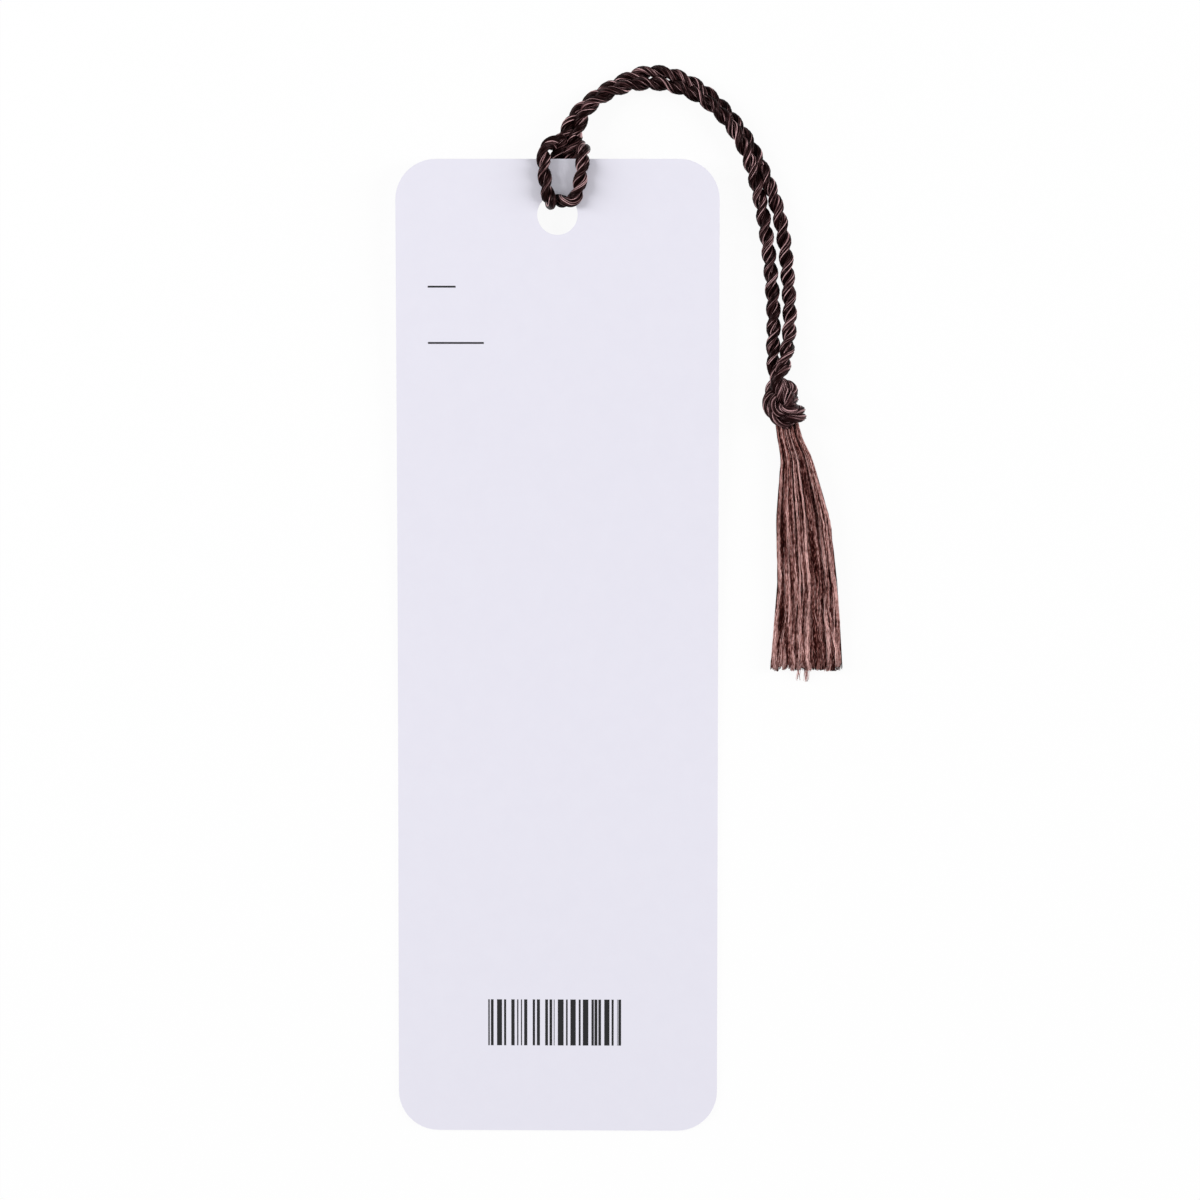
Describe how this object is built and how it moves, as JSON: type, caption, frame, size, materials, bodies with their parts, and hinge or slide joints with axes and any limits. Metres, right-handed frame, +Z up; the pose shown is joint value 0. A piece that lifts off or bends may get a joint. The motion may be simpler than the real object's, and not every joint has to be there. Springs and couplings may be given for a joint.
{
  "type": "bookmark",
  "caption": "Flat card bookmark with rounded corners and a punched hole; a twisted cord is hitched through the hole and ends in an overhand knot and a combed-out tassel.",
  "frame": {"origin": "on the table, under the middle of the card's box", "axes": "+X to the right across the card, +Y along the card towards the hole, +Z up from the table, out of the face that shows"},
  "size_m": [0.0703, 0.1691, 0.0062],
  "materials": {
    "card_stock": "smooth coated card, satin",
    "twisted_cord": "two-ply twisted rayon cord, silky",
    "fringe_yarn": "combed-out rayon filaments, silky"
  },
  "bodies": {
    "card": {"card": "card_stock", "hitch_loop": "twisted_cord"},
    "cord": {"cord_leg_outer": "twisted_cord", "cord_leg_inner": "twisted_cord"},
    "tassel": {"overhand_knot": "twisted_cord", "fringe_lock_1": "fringe_yarn", "fringe_lock_2": "fringe_yarn", "fringe_lock_3": "fringe_yarn", "fringe_lock_4": "fringe_yarn"}
  },
  "joints": [
    {"name": "cord_swing", "type": "hinge", "parent": "card", "child": "cord", "pos_m": [0.00185, 0.08072, 0.00279], "axis": [0, 0, 1], "range_deg": [-3, 90], "deforming": ["cord_leg_outer", "cord_leg_inner"]},
    {"name": "tassel_swing", "type": "hinge", "parent": "cord", "child": "tassel", "pos_m": [0.03508, 0.0449, 0.0017], "axis": [0, 0, 1], "range_deg": [-3, 75], "deforming": ["cord_leg_outer", "cord_leg_inner"]}
  ]
}
